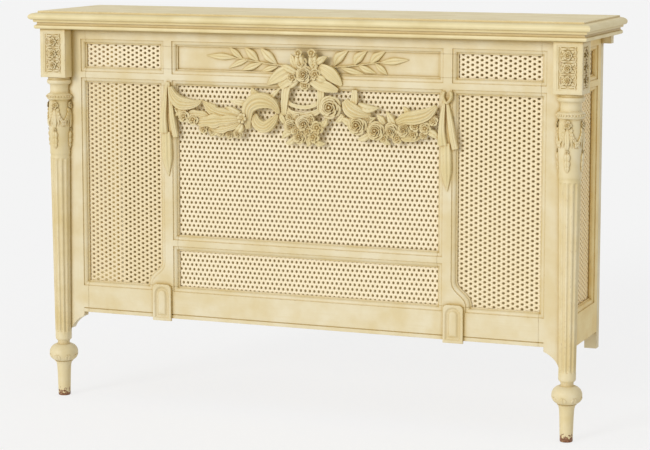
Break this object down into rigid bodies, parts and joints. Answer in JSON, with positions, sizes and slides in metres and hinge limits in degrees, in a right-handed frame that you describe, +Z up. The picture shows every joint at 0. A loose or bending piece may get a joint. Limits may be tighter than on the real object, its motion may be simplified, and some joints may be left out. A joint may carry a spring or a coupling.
{
  "type": "radiator cover cabinet",
  "caption": "Painted wooden radiator cover on two turned front legs, with caned panels, carved garlands and an open back that goes against a wall.",
  "frame": {"origin": "on the floor, under the middle of the case: halfway between the ends, and halfway between the nosing of the top and the back", "axes": "+X along the front, to the right of someone facing it; +Y from the front to the wall; +Z up"},
  "size_m": [1.414, 0.345, 0.965],
  "materials": {
    "cream_paint": "cream paint over beech, rubbed at the edges and glazed yellow-brown in the mouldings",
    "painted_cane": "woven cane, brushed over with the same cream paint",
    "carved_paint": "carved beech, cream paint with brown glaze in the hollows",
    "bare_beech": "planed, unfinished",
    "zinc_steel": "zinc plated"
  },
  "bodies": {
    "root": {"bed_moulding": "cream_paint", "bottom_rail": "cream_paint", "bouquet": "carved_paint", "cane_bay_left": "painted_cane", "cane_bay_right": "painted_cane", "cane_frieze_left": "painted_cane", "cane_frieze_right": "painted_cane", "cane_middle_high": "painted_cane", "cane_middle_low": "painted_cane", "drapery_left": "carved_paint", "drapery_right": "carved_paint", "end_bottom_rail_left": "cream_paint", "end_bottom_rail_right": "cream_paint", "end_cane_left": "painted_cane", "end_cane_right": "painted_cane", "end_frieze_left": "painted_cane", "end_frieze_right": "painted_cane", "end_front_stile_left": "cream_paint", "end_front_stile_right": "cream_paint", "end_mid_rail_left": "cream_paint", "end_mid_rail_right": "cream_paint", "end_rear_stile_left": "cream_paint", "end_rear_stile_right": "cream_paint", "end_top_rail_left": "cream_paint", "end_top_rail_right": "cream_paint", "frieze_muntin_left": "cream_paint", "frieze_muntin_right": "cream_paint", "frieze_panel": "cream_paint", "front_post_left": "cream_paint", "front_post_right": "cream_paint", "front_stile_left": "cream_paint", "front_stile_right": "cream_paint", "garland_left": "carved_paint", "garland_right": "carved_paint", "glue_block_front_left": "bare_beech", "glue_block_front_right": "bare_beech", "glue_block_rear_left": "bare_beech", "glue_block_rear_right": "bare_beech", "hanger_left": "zinc_steel", "hanger_right": "zinc_steel", "laurel_left": "carved_paint", "laurel_right": "carved_paint", "mid_rail": "cream_paint", "middle_rail": "cream_paint", "pendant": "carved_paint", "pilaster_left": "cream_paint", "pilaster_right": "cream_paint", "plinth_left": "cream_paint", "plinth_right": "cream_paint", "rear_batten": "cream_paint", "rear_post_left": "cream_paint", "rear_post_right": "cream_paint", "top_rail": "cream_paint", "top_slab": "cream_paint"}
  },
  "joints": []
}
